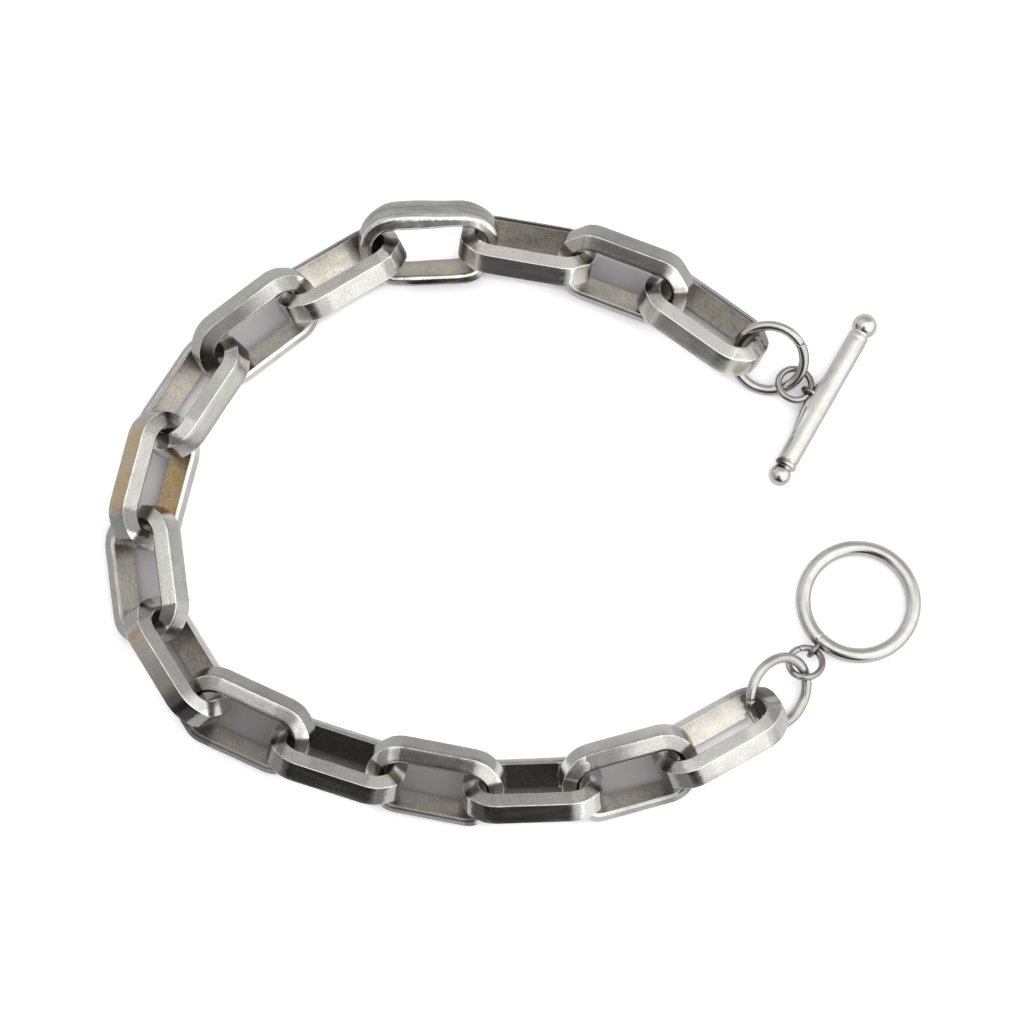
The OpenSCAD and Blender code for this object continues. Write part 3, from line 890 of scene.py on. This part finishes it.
# rings
# steps along and round the wire of a jump ring, half the gap at its joint, and how its ends are worn
JUMP_STEPS, JUMP_SIDES, JOINT_GAP, JOINT_WORN, JOINT_SOFT = 160, 28, 0.016, 0.07, 0.10
TOGGLE_STEPS, TOGGLE_SIDES, EYE_STEPS, EYE_SIDES = 360, 36, 48, 20
# solder groove beside the toggle ring's eye: (degrees, width, depth)
TOGGLE_GROOVE = (179, 0.08, 0.06)


def ring_height(radius, wire, tilt):
    """How high a tilted ring's middle lies when its low side rests on the floor."""
    return radius * math.sin(math.radians(tilt)) + wire / 2


# node, middle, height, the way its low side points, tilt, radius, wire, the angle of its joint
RINGS = [
    ("bar_jump_ring", (28.6, 16.9), ring_height(JUMP_R, JUMP_WIRE, 37), 259, 37, JUMP_R, JUMP_WIRE, 127),
    ("bar_small_ring", (31.5, 14.2), 1.55, 45, 12, SMALL_R, SMALL_WIRE, 292),
    ("clasp_jump_ring", (29.3, -20.9), ring_height(JUMP_R, JUMP_WIRE, 45), -34, 45, JUMP_R, JUMP_WIRE, 226),
    ("clasp_small_ring", (32.3, -17.45), 2.35, 90, 19, SMALL_R, SMALL_WIRE, 19),
]
# where the noise of each ring and of the bar starts
FIRST_RING_SEED, TOGGLE_SEED, BAR_SEED = 30, 41, 51
# tone and long stains of the rings by their wire
RING_LOOKS = {SMALL_WIRE: dict(tone=0.50, streaks=0.8), JUMP_WIRE: dict(tone=0.56, streaks=0.3)}


def wire_circle(radius, r, a, sides):
    """A circle of radius r round the wire of a ring, at the angle a."""
    out = []
    for q in range(sides):
        b = 2 * math.pi * q / sides
        far = radius + r * math.cos(b)
        out.append((far * math.cos(a), far * math.sin(a), r * math.sin(b)))
    return out


def round_wire(wire, sides):
    return [math.pi * wire * q / sides for q in range(sides + 1)]


def jump_ring(radius, wire, joint):
    """A ring of bent wire, whose ends meet at the angle joint."""
    cut = JOINT_GAP / radius
    rings, along = [], []
    for k in range(JUMP_STEPS + 1):
        a = math.radians(joint) + cut + (2 * math.pi - 2 * cut) * k / JUMP_STEPS
        edge = min(k, JUMP_STEPS - k) / JUMP_STEPS * 2 * math.pi * radius
        r = wire / 2 * (1 - JOINT_WORN * math.exp(-edge / JOINT_SOFT))
        rings.append(wire_circle(radius, r, a, JUMP_SIDES))
        along.append(radius * a)
    return swept(rings, along, round_wire(wire, JUMP_SIDES), closed=False)


def solid_ring(radius, wire, steps, sides, groove=None):
    """A ring without a joint, with a groove across its wire where one is given."""
    rings, along = [], []
    for k in range(steps):
        a = 2 * math.pi * k / steps
        r = wire / 2
        if groove:
            at, width, depth = groove
            away = (a - math.radians(at) + math.pi) % (2 * math.pi) - math.pi
            r -= depth * math.exp(-(away * radius / width) ** 2)
        rings.append(wire_circle(radius, r, a, sides))
        along.append(radius * a)
    return swept(rings, along + [2 * math.pi * radius], round_wire(wire, sides))


def with_eye(part, matrix):
    """A part with a soldered eye joined to it, set by matrix."""
    vertices, faces, uvs = part
    eye_vertices, eye_faces, eye_uvs = solid_ring(EYE_R, EYE_WIRE, EYE_STEPS, EYE_SIDES)
    base = len(vertices)
    vertices = vertices + [tuple(matrix @ Vector(p)) for p in eye_vertices]
    return vertices, faces + [tuple(i + base for i in face) for face in eye_faces], uvs + eye_uvs


for k, (node, mid, z, down, tilt, radius, wire, joint) in enumerate(RINGS):
    material = polished("wire_" + node, FIRST_RING_SEED + k, **RING_LOOKS[wire])
    add_piece(node, "wire_rings", jump_ring(radius, wire, joint), placed(mid, z, down, tilt, "Y"), material)

# the toggle ring, whose eye stands on its outside
eye_at, eye_x = math.radians(TOGGLE_EYE_AT), TOGGLE_R + TOGGLE_WIRE / 2 + EYE_OUT
eye_place = Matrix.Rotation(eye_at, 4, "Z") @ Matrix.Translation((eye_x, 0, 0))
part = with_eye(solid_ring(TOGGLE_R, TOGGLE_WIRE, TOGGLE_STEPS, TOGGLE_SIDES, TOGGLE_GROOVE),
                eye_place @ Matrix.Rotation(math.radians(90), 4, "X"))
material = polished("polished_toggle_ring", TOGGLE_SEED, 0.62,
                    dark_at=[(eye_x * math.cos(eye_at), eye_x * math.sin(eye_at), 0, 1.25)])
z = ring_height(TOGGLE_R, TOGGLE_WIRE, TOGGLE_TILT)
matrix = placed(TOGGLE_MID, z, TOGGLE_HEADING, TOGGLE_TILT, "Y")
add_piece("toggle_ring", "toggle_ring", part, matrix, material)


# the bar, along local X, its eye and swelling toward local +Y
BAR_STEP, BAR_SIDES, BALL_STEPS = 0.25, 120, 20
# the ball, collar and groove at its two ends
UPPER_END, LOWER_END = (BALL_D, BAR_D, 0.03), (2.44, COLLAR_D - 0.12, 0.07)
# the swelling: where it is thickest, how far it reaches toward each end, and how far it stands out
BULGE_AT, BULGE_LOWER, BULGE_UPPER, BULGE_OUT = -0.9, 4.4, 3.5, SWELL_OUT + 0.06
# the fold along the swelling: its angle, its two ends along the bar, and how softly it ends
FOLD_AT, FOLD_FROM, FOLD_TO, FOLD_SOFT = math.radians(32), -5.0, -2.0, 0.18
# depth and half width of the fold, then height, half width and distance of the ridge beside it
FOLD_DEEP, FOLD_WIDE, RIDGE_HIGH, RIDGE_WIDE, RIDGE_AWAY = 0.15, 0.11, 0.10, 0.14, 0.26
# room kept round the small ring's wire, and the step by which the skin is lowered for it
RING_ROOM, HOLLOW_STEP = 0.06, 0.02


def bar_outline(ball_d, collar_d, groove):
    """Places along one half of the bar from its middle to the ball's tip: (distance, radius)."""
    ball = ball_d / 2
    mid = BAR_SPAN / 2 + BALL_D / 2 - ball
    end = mid - ball + 0.12
    r, collar, start = BAR_D / 2, collar_d / 2, end - COLLAR_W
    out = [(BAR_STEP * k, r) for k in range(int((start - 0.4) / BAR_STEP) + 1)]
    out += [(start - 0.26, r - 0.25 * groove), (start - 0.2, r - groove), (start - 0.12, r - 0.9 * groove),
            (start - 0.02, collar - 0.8 * groove), (start + 0.06, collar), (end - 0.12, collar),
            (end - 0.04, collar - 0.05), (end, collar - 0.14)]
    neck = 0.72 * ball
    out += [(end + 0.01, neck + 0.03), (end + 0.05, neck)]
    first = math.pi - math.asin(neck / ball)
    for k in range(BALL_STEPS + 1):
        a = first - first * k / BALL_STEPS
        out.append((mid + ball * math.cos(a), max(ball * math.sin(a), 0.004)))
    return out


def bar_bulge(x, b):
    """How far the bar's skin stands out for its joint with the eye, with a fold along one side of it."""
    reach = BULGE_UPPER if x > BULGE_AT else BULGE_LOWER
    share = max(0.0, 1 - ((x - BULGE_AT) / reach) ** 2) ** 1.5
    out = BULGE_OUT * share * max(0.0, math.cos(b)) ** 3
    near = 1 / (1 + math.exp((x - FOLD_TO) / FOLD_SOFT)) / (1 + math.exp((FOLD_FROM - x) / FOLD_SOFT))
    fold = b - FOLD_AT
    out -= FOLD_DEEP * near * math.exp(-(fold / FOLD_WIDE) ** 2)
    return out + RIDGE_HIGH * near * math.exp(-((fold - RIDGE_AWAY) / RIDGE_WIDE) ** 2)


def clear_of_ring(x, radius, b, into_ring):
    """The skin's radius at x and the angle b, less where it would come too near to the small ring's wire."""
    while radius > 0:
        p = into_ring @ (Vector((x, radius * math.cos(b), radius * math.sin(b))) * MM) / MM
        if math.hypot(math.hypot(p.x, p.y) - SMALL_R, p.z) >= SMALL_WIRE / 2 + RING_ROOM:
            break
        radius -= HOLLOW_STEP
    return radius


bar_place = placed(BAR_MID, BALL_D / 2, BAR_HEADING, 0)
_, mid, z, down, tilt, *_ = next(row for row in RINGS if row[0] == "bar_small_ring")
into_ring = placed(mid, z, down, tilt, "Y").inverted() @ bar_place
stations = [(-x, r) for x, r in reversed(bar_outline(*LOWER_END)[1:])] + bar_outline(*UPPER_END)
rings = []
for x, r in stations:
    ring = []
    for q in range(BAR_SIDES):
        b = 2 * math.pi * q / BAR_SIDES
        skin = r
        if abs(x) < 1.2 * SWELL_L:
            skin = clear_of_ring(x, r + bar_bulge(x, b - 2 * math.pi if b > math.pi else b), b, into_ring)
        ring.append((x, skin * math.cos(b), skin * math.sin(b)))
    rings.append(ring)
part = swept(rings, [x for x, _ in stations], round_wire(BAR_D, BAR_SIDES), closed=False, turned=True)
eye_y = BAR_D / 2 + EYE_OUT
part = with_eye(part, Matrix.Translation((0, eye_y, 0)) @ Matrix.Rotation(math.radians(90), 4, "Y"))
# darker past its eye and by its lower ball
darker_spots = [(0.0, eye_y + 0.4, 0.0, 1.35), (-BAR_SPAN / 2 + 0.95, 0.5, 0.7, 0.8)]
material = polished("polished_toggle_bar", BAR_SEED, 0.65, BAR_GLOSS, mirror_past=8.6, dark_at=darker_spots)
add_piece("toggle_bar", "toggle_bar", part, bar_place, material, weighted=True)
